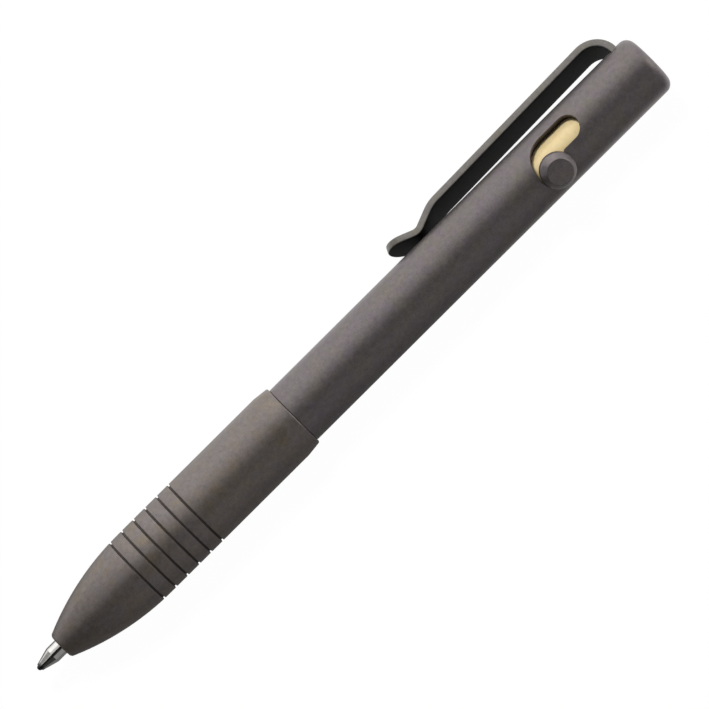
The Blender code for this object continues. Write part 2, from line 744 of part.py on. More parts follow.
def make_return_spring():
    """The return spring, between the nose's seat and the refill's shoulder."""
    first = NOSE_WALL + SEAT_GAP + WIRE_RADIUS
    last = REFILL_FRONT - SEAT_GAP - WIRE_RADIUS
    pitch = (last - first) / SPRING_TURNS
    points = []
    for k in range(SPRING_TURNS * POINTS_PER_TURN + 1):
        spin = math.tau * k / POINTS_PER_TURN
        points.append(
            (
                SPRING_RADIUS * math.cos(spin),
                SPRING_RADIUS * math.sin(spin),
                first + pitch * k / POINTS_PER_TURN,
            )
        )
    turn_apart = min(
        (Vector(points[k + POINTS_PER_TURN]) - Vector(points[k])).length
        for k in range(len(points) - POINTS_PER_TURN)
    )
    print(f"return spring: least gap between turns {1000 * (turn_apart - 2 * WIRE_RADIUS):.2f} mm")
    curve = bpy.data.curves.new("return_spring", "CURVE")
    curve.dimensions = "3D"
    curve.bevel_depth = WIRE_RADIUS
    curve.bevel_resolution = 1
    curve.use_fill_caps = True
    spline = curve.splines.new("POLY")
    spline.points.add(len(points) - 1)
    for point, place in zip(spline.points, points):
        point.co = (*place, 1.0)
    return add_part("return_spring", curve, SPRING_STEEL)


def reach_of(parts):
    """The lowest and highest corners of the finished pieces, where they lie."""
    bpy.context.view_layer.update()
    depsgraph = bpy.context.evaluated_depsgraph_get()
    corners = []
    for part in parts:
        shown = part.evaluated_get(depsgraph)
        mesh = shown.to_mesh()
        corners += [shown.matrix_world @ vert.co for vert in mesh.vertices]
        shown.to_mesh_clear()
    low = Vector(min(c[k] for c in corners) for k in range(3))
    high = Vector(max(c[k] for c in corners) for k in range(3))
    return low, high


def lay_down(parts):
    """Lay the pen along +X on its grip and its clip's edge, centred over the origin."""
    clip_outer = BARREL_RADIUS + CLIP_BEND_HEIGHT + CLIP_THICKNESS / 2
    half_width = CLIP_WIDTH / 2
    corner = math.hypot(clip_outer, half_width)
    clip_angle = math.acos(-GRIP_RADIUS / corner) - math.atan2(half_width, clip_outer)
    PEN_AXIS.rotation_mode = "YXZ"
    PEN_AXIS.rotation_euler = (math.pi - clip_angle, math.pi / 2, 0.0)
    low, high = reach_of(parts)
    PEN_AXIS.location = (-(low.x + high.x) / 2, -(low.y + high.y) / 2, -low.z)


PIECES = [
    make_grip(),
    make_barrel(),
    make_end_plug(),
    make_clip_screw(),
    make_clip(),
    make_bolt_knob(),
    make_plunger(),
    make_refill_tube(),
    make_writing_point(),
    make_ball(),
    make_refill_cap(),
    make_return_spring(),
]
lay_down(PIECES)
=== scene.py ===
"""Looks for the bolt action pen: surfaces, finishes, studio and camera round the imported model.

Shapes are worked out in the pen's own frame, in millimetres: x points out through the clip, y lies
across it, and a station a runs along the axis from the nose face to the tail.
"""

import logging
import math
from collections.abc import Callable
from dataclasses import dataclass
from enum import Enum

import bmesh
import bpy
import numpy as np
from bpy.types import Material, Mesh, Node, NodeSocket, Object
from mathutils import Matrix, Vector
from mathutils.geometry import tessellate_polygon


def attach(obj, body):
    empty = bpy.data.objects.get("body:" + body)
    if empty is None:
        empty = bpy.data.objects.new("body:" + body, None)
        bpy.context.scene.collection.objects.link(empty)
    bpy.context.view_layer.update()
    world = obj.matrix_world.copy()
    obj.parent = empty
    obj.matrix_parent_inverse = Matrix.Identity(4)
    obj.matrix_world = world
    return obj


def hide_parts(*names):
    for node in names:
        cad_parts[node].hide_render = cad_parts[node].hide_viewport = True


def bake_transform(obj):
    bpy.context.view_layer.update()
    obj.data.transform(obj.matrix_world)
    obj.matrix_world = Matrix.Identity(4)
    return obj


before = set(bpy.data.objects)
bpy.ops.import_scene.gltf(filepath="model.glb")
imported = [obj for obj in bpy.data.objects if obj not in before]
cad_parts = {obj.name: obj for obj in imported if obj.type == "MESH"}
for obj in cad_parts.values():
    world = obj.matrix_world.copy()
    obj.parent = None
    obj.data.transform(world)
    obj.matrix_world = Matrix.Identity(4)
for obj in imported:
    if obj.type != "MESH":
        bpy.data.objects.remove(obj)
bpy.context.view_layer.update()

LOG = logging.getLogger("pen")
MILLIMETRE = 0.001
MERGE_DISTANCE = 1e-7
SHARP_ANGLE = math.radians(32)
BARREL_RADIUS = 4.8
BORE_RADIUS = 3.25
TAIL = 116.65
LEG_STATION = 113.97
STEM_ANGLE = math.radians(133.1)
STEM_STATION = 96.3054
THREAD_STEP = 0.075
THREAD_MATCH = 0.01
RECESS_DEPTH = 0.3
ROW_SPACING = 0.8
SIDES = 128

Array = np.ndarray
Shape = tuple[Array, list]
Ripple = Callable[[Array, Array, Array], Array]
Rule = Callable[[Array, Array], Array]
Pair = tuple[float, float]
Triple = tuple[float, float, float]


class Body(Enum):
    """The bodies that pieces ride on."""

    PEN = "pen_body"
    GRIP = "grip"
    REFILL = "refill"
    BOLT = "bolt"
    CLIP = "clip_strip"


@dataclass(frozen=True)
class PenFrame:
    """Where the pen lies: its axis along +X, rolled so that it rests on its grip and its clip."""

    origin: Triple = (-0.056025, -0.001556, 0.005516)
    basis: tuple[Triple, ...] = (
        (0.0, 0.938843, -0.344346), (0.0, 0.344346, 0.938843), (1.0, 0.0, 0.0))

    def place(self, x: Array, y: Array, a: Array) -> Array:
        """Rows of world places in metres: the origin plus each coordinate times its basis row."""
        local = np.stack(np.broadcast_arrays(x, y, a), axis=-1) * MILLIMETRE
        return (local @ np.array(self.basis) + np.array(self.origin)).reshape(-1, 3)

    def read(self, points: Array) -> tuple[Array, Array, Array]:
        """Coordinates in the pen's frame, in millimetres, of world places in metres."""
        local = (points - np.array(self.origin)) @ np.array(self.basis).T / MILLIMETRE
        return local[:, 0], local[:, 1], local[:, 2]


PEN = PenFrame()


# Shapes as arrays
def polar(angle: Array, radius: float) -> Array:
    """Points at each angle, as pairs: cosine and sine times the radius."""
    return np.stack([np.cos(angle), np.sin(angle)], axis=-1) * radius


def rotated(x: Array, y: Array, angle: Array) -> tuple[Array, Array]:
    """Coordinates turned by an angle: x cos - y sin, and x sin + y cos."""
    c, s = np.cos(angle), np.sin(angle)
    return x * c - y * s, x * s + y * c


def unit(vectors: Array) -> Array:
    """Each vector divided by its length."""
    return vectors / np.linalg.norm(vectors, axis=-1, keepdims=True)


def distances(path: Array) -> Array:
    """How far along a path each of its points is: the running sum of its steps' lengths."""
    return np.concatenate([[0.0], np.cumsum(np.linalg.norm(np.diff(path, axis=0), axis=1))])


def at_radius(radius: float, stations: Array) -> Array:
    """Rows of (radius, station), all at one radius."""
    return np.stack([np.full_like(stations, radius), stations], axis=-1)


def soften(profile: Array, reach: float, steps: int = 3, closed: bool = False) -> Array:
    """Round a profile's corners.

    Each corner becomes a parabola from a point one reach before it to a point one reach after it:
    (1-t)^2 times the first, 2t(1-t) times the corner and t^2 times the last. The reach is cut to
    0.45 of the shorter side.

    Args:
        profile: corner points, one a row.
        reach: how far from a corner its rounding starts.
        steps: segments in each rounding.
        closed: whether the last point joins the first.

    Returns:
        The points of the rounded profile.
    """
    before = np.roll(profile, 1, axis=0) - profile
    after = np.roll(profile, -1, axis=0) - profile
    short = np.minimum(np.linalg.norm(before, axis=1), np.linalg.norm(after, axis=1))
    back = np.minimum(reach, 0.45 * short)[:, None]
    first, last = profile + unit(before) * back, profile + unit(after) * back
    t = np.linspace(0.0, 1.0, steps + 1)[None, :, None]
    middle = 2 * t * (1 - t) * profile[:, None]
    curve = (1 - t) ** 2 * first[:, None] + middle + t**2 * last[:, None]
    if closed:
        return curve.reshape(-1, 2)
    return np.concatenate([profile[:1], curve[1:-1].reshape(-1, 2), profile[-1:]])


def subdivide(profile: Array, longest: float, closed: bool = False) -> Array:
    """Put points on a profile's long straight sides, evenly between its corners.

    Args:
        profile: corner points, one a row.
        longest: the greatest distance left between two points.
        closed: whether the last point joins the first.

    Returns:
        The profile with the added points.
    """
    loop = np.vstack([profile, profile[:1]]) if closed else profile
    reach = distances(loop)
    parts = np.maximum(1, np.ceil(np.diff(reach) / longest)).astype(int)
    span = np.repeat(np.diff(reach) / parts, parts)
    index = np.arange(parts.sum()) - np.repeat(np.cumsum(parts) - parts, parts)
    wanted = np.repeat(reach[:-1], parts) + span * index
    if not closed:
        wanted = np.append(wanted, reach[-1])
    return np.stack([np.interp(wanted, reach, loop[:, k]) for k in range(2)], axis=-1)


def grid_faces(
        rows: int, columns: int, loop_rows: bool = False, loop_columns: bool = True) -> list:
    """Four-sided faces between neighbours of a grid whose points are numbered row by row.

    Args:
        rows: number of rows.
        columns: number of columns.
        loop_rows: whether the last row joins the first.
        loop_columns: whether the last column joins the first.

    Returns:
        A list of faces, each with its four point numbers.
    """
    r = np.arange(rows if loop_rows else rows - 1)[:, None]
    c = np.arange(columns if loop_columns else columns - 1)[None, :]
    r2, c2 = (r + 1) % rows, (c + 1) % columns
    corners = [r * columns + c, r * columns + c2, r2 * columns + c2, r2 * columns + c]
    return np.stack(corners, axis=-1).reshape(-1, 4).tolist()


def turned(
        profile: Array, sides: int, closed: bool = False, ripple: Ripple | None = None) -> Shape:
    """A surface of revolution: x = r cos(angle), y = r sin(angle), at the profile's station.

    Args:
        profile: rows of (radius, station).
        sides: points round the axis.
        closed: whether the profile is a loop, as for a tube.
        ripple: gives the radius anew from radius, station and angle, as for a thread.

    Returns:
        The points in metres, and the faces.
    """
    angle = np.linspace(0.0, math.tau, sides, endpoint=False)[None, :]
    radius, station = profile[:, :1], profile[:, 1:]
    if ripple is not None:
        radius = ripple(radius, station, angle)
    points = PEN.place(radius * np.cos(angle), radius * np.sin(angle), station + 0 * angle)
    return points, grid_faces(len(profile), sides, closed)


def turned_on_stem(profile: Array, sides: int) -> Shape:
    """A surface of revolution about the bolt's stem, which leaves the axis at a right angle.

    A point at height h and radius r is h times the outward direction plus r times a turning
    direction, r cos(turn) round the pen and r sin(turn) along it.

    Args:
        profile: rows of (radius, height above the pen's axis).
        sides: points round the stem.

    Returns:
        The points in metres, and the faces.
    """
    turn = np.linspace(0.0, math.tau, sides, endpoint=False)[None, :]
    radius, height = profile[:, :1], profile[:, 1:]
    x, y = rotated(height, radius * np.cos(turn), STEM_ANGLE)
    points = PEN.place(x, y, STEM_STATION + radius * np.sin(turn))
    return points, grid_faces(len(profile), sides)


def block(low: Triple, high: Triple) -> Shape:
    """A box between two corners in the pen's frame.

    Args:
        low: its lowest x, y and station.
        high: its highest x, y and station.

    Returns:
        The points in metres, and the faces.
    """
    x, y, a = np.meshgrid(*zip(low, high), indexing="ij")
    faces = [(0, 1, 3, 2), (4, 6, 7, 5), (0, 4, 5, 1), (2, 3, 7, 6), (0, 2, 6, 4), (1, 5, 7, 3)]
    return PEN.place(x, y, a), faces


# Pieces
def store_painted_shade(mesh: Mesh, values: Array) -> None:
    """Keep on each point its painted shade, from 0 to 1, which darkens its colour and dulls it."""
    layer = mesh.attributes.new("painted_shade", "FLOAT", "POINT")
    layer.data.foreach_set("value", np.asarray(values, dtype=np.float32))


def mark_painted_shade(piece: Object, rule: Rule) -> None:
    """Paint shade into a piece's recesses, by a rule.

    Args:
        piece: a turned piece.
        rule: gives the painted shade from a point's distance to the pen's axis and its station.
    """
    places = np.empty(3 * len(piece.data.vertices), dtype=np.float32)
    piece.data.vertices.foreach_get("co", places)
    x, y, station = PEN.read(places.reshape(-1, 3))
    store_painted_shade(piece.data, np.clip(rule(np.hypot(x, y), station), 0.0, 1.0))


def mend(mesh: Mesh, reach: float, outwards: bool = False) -> None:
    """Merge a mesh's doubles, take out its slivers and shade its edges sharp.

    Args:
        mesh: the mesh.
        reach: how close two points are to be one, in the mesh's own unit.
        outwards: whether its faces are turned outwards too.
    """
    work = bmesh.new()
    work.from_mesh(mesh)
    bmesh.ops.remove_doubles(work, verts=work.verts, dist=reach)
    bmesh.ops.dissolve_degenerate(work, edges=work.edges, dist=reach)
    if outwards:
        bmesh.ops.recalc_face_normals(work, faces=work.faces)
        if work.calc_volume(signed=True) < 0:
            bmesh.ops.reverse_faces(work, faces=work.faces)
    work.to_mesh(mesh)
    work.free()
    mesh.shade_smooth()
    mesh.set_sharp_from_angle(angle=SHARP_ANGLE)


def add_object(name: str, data: bpy.types.ID) -> Object:
    """Make an object and link it to the scene.

    Args:
        name: its name.
        data: its mesh, lamp or camera.

    Returns:
        The new object, at the origin.
    """
    made = bpy.data.objects.new(name, data)
    bpy.context.scene.collection.objects.link(made)
    return made


def add_piece(name: str, shape: Shape, painted_shade: Array | None = None) -> Object:
    """Make an object of a shape.

    Args:
        name: the piece's name.
        shape: points in metres and faces.
        painted_shade: each point's painted shade, where the piece has any.

    Returns:
        The new object, at the origin.
    """
    points, faces = shape
    mesh = bpy.data.meshes.new(name)
    mesh.from_pydata(points.tolist(), [], faces)
    if painted_shade is not None:
        store_painted_shade(mesh, painted_shade)
    mend(mesh, MERGE_DISTANCE, outwards=True)
    return add_object(name, mesh)


def carve(piece: Object, cutters: list[Shape]) -> None:
    """Take cutters out of a piece, for good. The work is done a thousand times enlarged.

    Args:
        piece: the piece that is cut.
        cutters: closed shapes.
    """
    enlarge = Matrix.Scale(1 / MILLIMETRE, 4)
    piece.data.transform(enlarge)
    for shape in cutters:
        cutter = add_piece("cutter", shape)
        cutter.data.transform(enlarge)
        boolean = piece.modifiers.new("cut", "BOOLEAN")
        boolean.operation = "DIFFERENCE"
        boolean.solver = "EXACT"
        boolean.object = cutter
        graph = bpy.context.evaluated_depsgraph_get()
        cut_mesh = bpy.data.meshes.new_from_object(piece.evaluated_get(graph))
        piece.modifiers.clear()
        old, piece.data = piece.data, cut_mesh
        bpy.data.meshes.remove(old)
        bpy.data.objects.remove(cutter, do_unlink=True)
    mend(piece.data, MERGE_DISTANCE / MILLIMETRE)
    piece.data.transform(enlarge.inverted())
    piece.data.name = piece.name


# Finishes
FLOAT, VECTOR, COLOUR = "NodeSocketFloat", "NodeSocketVector", "NodeSocketColor"
RELIEF = [("Height", FLOAT), ("Tone", FLOAT)]
COARSE_PITS = 0.28
TONE_GAIN = 4.0
COOL_PATCHES = 1.7
CLOUD_EDGES = (0.45, 0.7)
# How strongly painted shade darkens a colour where its mark is full.
PAINTED_SHADE_STRENGTH = 0.93
RECESS_DULL = 0.4
SMOOTHEST = 0.02
WHOLE = (0.0, 1.0)


class NodeTree:
    """Small helper that adds and links nodes in a material or a group."""

    def __init__(self, tree: bpy.types.NodeTree) -> None:
        """Keep the tree that nodes go into."""
        self.tree = tree

    def feed(self, node: Node, **inputs: object) -> None:
        """Give inputs values, or links from sockets.

        Args:
            node: the node that takes them.
            inputs: a number, a colour, a vector or another node's output for each input, by its
                name with _ for a space, or by _ and its number.
        """
        for key, value in inputs.items():
            title = key.replace("_", " ").strip()
            socket = node.inputs[int(title) if title.isdigit() else title]
            if isinstance(value, NodeSocket):
                self.tree.links.new(value, socket)
            elif isinstance(value, tuple) and socket.type == "RGBA":
                socket.default_value = (*value[:3], 1.0)
            else:
                socket.default_value = value

    def add(self, kind: str, **settings: object) -> Node:
        """Add a node.

        Args:
            kind: the node's type.
            settings: its properties, set first, and its inputs as for feed.

        Returns:
            The new node.
        """
        node = self.tree.nodes.new(kind)
        own = {key: value for key, value in settings.items() if key in node.bl_rna.properties}
        for key, value in own.items():
            setattr(node, key, value)
        self.feed(node, **{key: value for key, value in settings.items() if key not in own})
        return node

    def math(self, operation: str, first: object, second: object) -> NodeSocket:
        """The result of one sum on two values or sockets."""
        return self.add("ShaderNodeMath", operation=operation, _0=first, _1=second).outputs[0]

    def mix(self, share: object, first: object, second: object, blend: str) -> NodeSocket:
        """Two colours mixed in one of Blender's ways."""
        kinds = {"data_type": "RGBA", "blend_type": blend}
        return self.add("ShaderNodeMix", **kinds, _0=share, _6=first, _7=second).outputs[2]

    def spread(self, value: object, start: Pair, end: Pair) -> NodeSocket:
        """A value brought from one range to another and held inside it."""
        ranges = {"From_Min": start[0], "From_Max": start[1], "To_Min": end[0], "To_Max": end[1]}
        return self.add("ShaderNodeMapRange", Value=value, **ranges).outputs["Result"]

    def group(self, name: str, where: NodeSocket, **inputs: object) -> Node:
        """Place one of the shared groups, at the coordinates that it reads."""
        return self.add("ShaderNodeGroup", node_tree=GROUPS[name], Vector=where, **inputs)

    def painted_shade(self) -> NodeSocket:
        """The piece's painted-shade mark."""
        return self.add("ShaderNodeAttribute", attribute_name="painted_shade").outputs["Fac"]

    def show(self, surface: NodeSocket) -> None:
        """Make a shader the material's surface."""
        self.feed(self.tree.nodes["Material Output"], Surface=surface)


def new_group(name: str, inputs: list[tuple], outputs: list[tuple]) -> tuple:
    """Start a shader node group with named sockets.

    Args:
        name: the group's name.
        inputs: (name, socket type, default) of each input.
        outputs: (name, socket type) of each output.

    Returns:
        The group, its tree helper, its input sockets and its output node.
    """
    group = bpy.data.node_groups.new(name, "ShaderNodeTree")
    for title, kind, default in inputs:
        socket = group.interface.new_socket(title, in_out="INPUT", socket_type=kind)
        if default is not None:
            socket.default_value = default
    for title, kind in outputs:
        group.interface.new_socket(title, in_out="OUTPUT", socket_type=kind)
    tree = NodeTree(group)
    return group, tree, tree.add("NodeGroupInput").outputs, tree.add("NodeGroupOutput")


def put_relief(tree: NodeTree, made: Node, height: object, contrast: object) -> None:
    """Put out a height from 0 to 1, and a tone of 1 + gain times contrast times (height - 0.5)."""
    swing = tree.math("MULTIPLY", tree.math("SUBTRACT", height, 0.5), contrast)
    tree.feed(made, Height=height,
              Tone=tree.math("ADD", tree.math("MULTIPLY", swing, TONE_GAIN), 1.0))


def blast_grain_group() -> bpy.types.NodeTree:
    """Blasted metal's fine pits, as a relief: the middle of two sizes of noise.

    Returns:
        The group.
    """
    inputs = [("Vector", VECTOR, None), ("Scale", FLOAT, 5000.0), ("Contrast", FLOAT, 0.1)]
    group, tree, given, made = new_group("blast_grain", inputs, RELIEF)
    where, scale = given["Vector"], given["Scale"]
    pits = tree.add("ShaderNodeTexNoise", Vector=where, Scale=scale, Detail=2.0)
    coarse_scale = tree.math("MULTIPLY", scale, COARSE_PITS)
    coarse = tree.add("ShaderNodeTexNoise", Vector=where, Scale=coarse_scale, Detail=3.0)
    both = tree.math("ADD", pits.outputs["Fac"], coarse.outputs["Fac"])
    put_relief(tree, made, tree.math("MULTIPLY", both, 0.5), given["Contrast"])
    return group


def colour_drift_group() -> bpy.types.NodeTree:
    """Slow changes of hue over a piece: a warm and a cool cast, each in its own cloudy patches.

    Returns:
        The group.
    """
    colours = [(title, COLOUR, None) for title in ("Colour", "Warm", "Cool")]
    inputs = [("Vector", VECTOR, None), *colours, ("Amount", FLOAT, 0.5), ("Scale", FLOAT, 160.0)]
    group, tree, given, made = new_group("colour_drift", inputs, [("Colour", COLOUR)])
    colour = given["Colour"]
    for cast, factor in (("Warm", 1.0), ("Cool", COOL_PATCHES)):
        scale = tree.math("MULTIPLY", given["Scale"], factor)
        cloud = tree.add("ShaderNodeTexNoise", Vector=given["Vector"], Scale=scale, Detail=4.0)
        patch = tree.spread(cloud.outputs["Fac"], CLOUD_EDGES, WHOLE)
        share = tree.math("MULTIPLY", patch, given["Amount"])
        colour = tree.mix(share, colour, given[cast], "MIX")
    tree.feed(made, Colour=colour)
    return group


def lathe_marks_group() -> bpy.types.NodeTree:
    """Fine rings that a lathe leaves, as a relief: noise squeezed along one axis.

    Returns:
        The group.
    """
    inputs = [("Vector", VECTOR, None), ("Stretch", VECTOR, (9000.0, 60.0, 60.0)),
              ("Contrast", FLOAT, 0.1)]
    group, tree, given, made = new_group("lathe_marks", inputs, RELIEF)
    squeezed = tree.add(
        "ShaderNodeVectorMath", operation="MULTIPLY", _0=given["Vector"], _1=given["Stretch"])
    rings = tree.add("ShaderNodeTexNoise", Vector=squeezed.outputs[0], Scale=1.0, Detail=2.0)
    put_relief(tree, made, rings.outputs["Fac"], given["Contrast"])
    return group


GROUPS = {
    "grain": blast_grain_group(),
    "drift": colour_drift_group(),
    "lathe": lathe_marks_group(),
}


def start_material(name: str) -> tuple:
    """Start a node material.

    Args:
        name: the material's name.

    Returns:
        The material, its tree helper, its Principled node and its coordinates.
    """
    material = bpy.data.materials.new(name)
    material.use_nodes = True
    tree = NodeTree(material.node_tree)
    shader = material.node_tree.nodes["Principled BSDF"]
    return material, tree, shader, tree.add("ShaderNodeTexCoord").outputs["Object"]


def tint(tree: NodeTree, colour: object, relief: Node) -> NodeSocket:
    """A colour times a relief's tone and times (1 - strength times the painted-shade mark)."""
    lit = tree.math("SUBTRACT", 1.0, tree.math("MULTIPLY", tree.painted_shade(), PAINTED_SHADE_STRENGTH))
    return tree.mix(1.0, colour, tree.math("MULTIPLY", relief.outputs["Tone"], lit), "MULTIPLY")


def uneven(tree: NodeTree, relief: Node, middle: float, reach: float) -> NodeSocket:
    """A roughness that follows a relief's height, from middle - reach to middle + reach."""
    between = (max(SMOOTHEST, middle - reach), middle + reach)
    return tree.spread(relief.outputs["Height"], WHOLE, between)


def raised(tree: NodeTree, relief: Node, depth: float) -> NodeSocket:
    """The normal of a surface that a relief raises, by a depth in metres at its full height."""
    bump = tree.add("ShaderNodeBump", Distance=depth, Height=relief.outputs["Height"])
    return bump.outputs["Normal"]


@dataclass(frozen=True)
class BlastedTitanium:
    """Titanium with a fine blasted, tumbled surface: cloudy casts and pits."""

    name: str
    colour: Triple
    warm: Triple
    cool: Triple
    metallic: float = 0.85
    roughness: float = 0.48
    unevenness: float = 0.08
    drift: float = 0.8
    patch: float = 330.0
    contrast: float = 0.28
    depth: float = 0.00002

    def build(self) -> Material:
        """Make the finish.

        Returns:
            Its material.
        """
        material, tree, shader, where = start_material(self.name)
        drift = tree.group("drift", where, Colour=self.colour, Warm=self.warm, Cool=self.cool,
                           Amount=self.drift, Scale=self.patch)
        grain = tree.group("grain", where, Contrast=self.contrast)
        dull = tree.math("MULTIPLY", tree.painted_shade(), RECESS_DULL)
        rough = uneven(tree, grain, self.roughness, self.unevenness)
        tree.feed(shader, Base_Color=tint(tree, drift.outputs[0], grain), Metallic=self.metallic,
                  Roughness=tree.math("ADD", rough, dull), Normal=raised(tree, grain, self.depth))
        return material


@dataclass(frozen=True)
class TurnedMetal:
    """Metal straight from the lathe: fine rings that follow the pen's axis, and a slight stain."""

    name: str
    colour: Triple
    roughness: float
    contrast: float = 0.08
    metallic: float = 1.0
    depth: float = 0.000004
    stain: float = 0.1
    unevenness: float = 0.07
    patch: float = 700.0
    warm_cast: Triple = (0.9, 0.8, 0.6)
    cool_cast: Triple = (0.8, 0.86, 0.9)

    def build(self) -> Material:
        """Make the finish.

        Returns:
            Its material.
        """
        material, tree, shader, where = start_material(self.name)
        warm, cool = (tuple(c * k for c, k in zip(self.colour, cast))
                      for cast in (self.warm_cast, self.cool_cast))
        drift = tree.group("drift", where, Colour=self.colour, Warm=warm, Cool=cool,
                           Amount=self.stain, Scale=self.patch)
        marks = tree.group("lathe", where, Contrast=self.contrast)
        tree.feed(shader, Base_Color=tint(tree, drift.outputs[0], marks), Metallic=self.metallic,
                  Roughness=uneven(tree, marks, self.roughness, self.unevenness),
                  Normal=raised(tree, marks, self.depth))
        return material


@dataclass(frozen=True)
class MouldedPlastic:
    """Plain moulded plastic with a faint texture."""

    name: str
    colour: Triple
    roughness: float = 0.5
    scale: float = 2500.0
    contrast: float = 0.05
    depth: float = 0.00001

    def build(self) -> Material:
        """Make the finish.

        Returns:
            Its material.
        """
        material, tree, shader, where = start_material(self.name)
        grain = tree.group("grain", where, Scale=self.scale, Contrast=self.contrast)
        tree.feed(shader, Base_Color=tint(tree, self.colour, grain), Roughness=self.roughness,
                  Normal=raised(tree, grain, self.depth))
        return material


class Finish(Enum):
    """The pen's finishes, each with a slot name and its description."""

    GRIP = ("grip_titanium", BlastedTitanium(
        "grip blasted titanium",
        (0.164, 0.141, 0.131), (0.174, 0.144, 0.11), (0.155, 0.141, 0.143)))
    BARREL = ("barrel_titanium", BlastedTitanium(
        "barrel blasted titanium",
        (0.146, 0.129, 0.128), (0.15, 0.135, 0.114), (0.143, 0.121, 0.137)))
    CLIP = ("clip_titanium", BlastedTitanium(
        "clip blasted titanium",
        (0.15, 0.141, 0.13), (0.154, 0.143, 0.118), (0.141, 0.132, 0.132)))
    KNOB = ("knob_titanium", BlastedTitanium(
        "knob blasted titanium", (0.148, 0.13, 0.128), (0.153, 0.134, 0.12), (0.143, 0.126, 0.136),
        roughness=0.38))
    BRASS = ("plunger_brass", TurnedMetal(
        "turned brass", (0.625, 0.5, 0.276), 0.4, 0.03, metallic=0.1, depth=0.000003, stain=0.45))
    TUBE = ("refill_steel", TurnedMetal("drawn refill tube", (0.55, 0.55, 0.54), 0.3))
    POINT = ("point_steel", TurnedMetal("bright turned point", (0.5, 0.49, 0.475), 0.13, 0.14))
    BALL = ("ball_carbide", TurnedMetal("carbide ball", (0.05, 0.05, 0.05), 0.25, 0.05))
    CAP = ("cap_plastic", MouldedPlastic("refill cap plastic", (0.1, 0.11, 0.14)))
    SPRING = ("spring_steel", TurnedMetal("spring wire", (0.5, 0.5, 0.49), 0.3))
    SCREW = ("screw_steel", TurnedMetal("set screw steel", (0.28, 0.28, 0.28), 0.4))

    def material(self) -> Material:
        """This finish's material, made at its first use."""
        made = bpy.data.materials.get(self.value[1].name)
        return made or self.value[1].build()


def dress(piece: Object, finish: Finish) -> None:
    """Give a piece its finish and report it.

    Args:
        piece: a new piece or a carried-over node.
        finish: its finish.
    """
    piece.data.materials.clear()
    piece.data.materials.append(finish.material())
    LOG.info("%s: %d faces, %s", piece.name, len(piece.data.polygons), finish.value[1].name)


def fit(piece: Object, finish: Finish, body: Body, node: str) -> None:
    """Dress a new piece, put it on its body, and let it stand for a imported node.

    Args:
        piece: the new piece.
        finish: its finish.
        body: the body that it rides on.
        node: the node that it replaces.
    """
    dress(piece, finish)
    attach(piece, body.value)
    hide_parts(node)


# Grip and barrel
@dataclass(frozen=True)
class Thread:
    """The thread between grip and barrel, as a ripple on a turned surface."""

    start: float
    end: float
    radius: float
    depth: float
    pitch: float = 0.75
    steepness: float = 2.2
    root: float = 0.6
    run_out: float = 0.5

    def ripple(self, radius: Array, station: Array, angle: Array) -> Array:
        """Cut a helical groove: a triangle wave of (station / pitch - angle / full turn).

        Args:
            radius: the plain radii.
            station: the stations.
            angle: the angles round the axis.

        Returns:
            The radii with the groove, which fades out at the thread's two ends.
        """
        phase = np.mod(station / self.pitch - angle / math.tau, 1.0)
        wave = np.clip(self.steepness * np.abs(2 * phase - 1) - self.root, 0.0, 1.0)
        from_end = np.minimum(station - self.start, self.end - station)
        fade = np.clip(from_end / self.run_out, 0.0, 1.0)
        on_thread = np.abs(radius - self.radius) < THREAD_MATCH
        return np.where(on_thread, radius + self.depth * wave * fade, radius + 0 * angle)


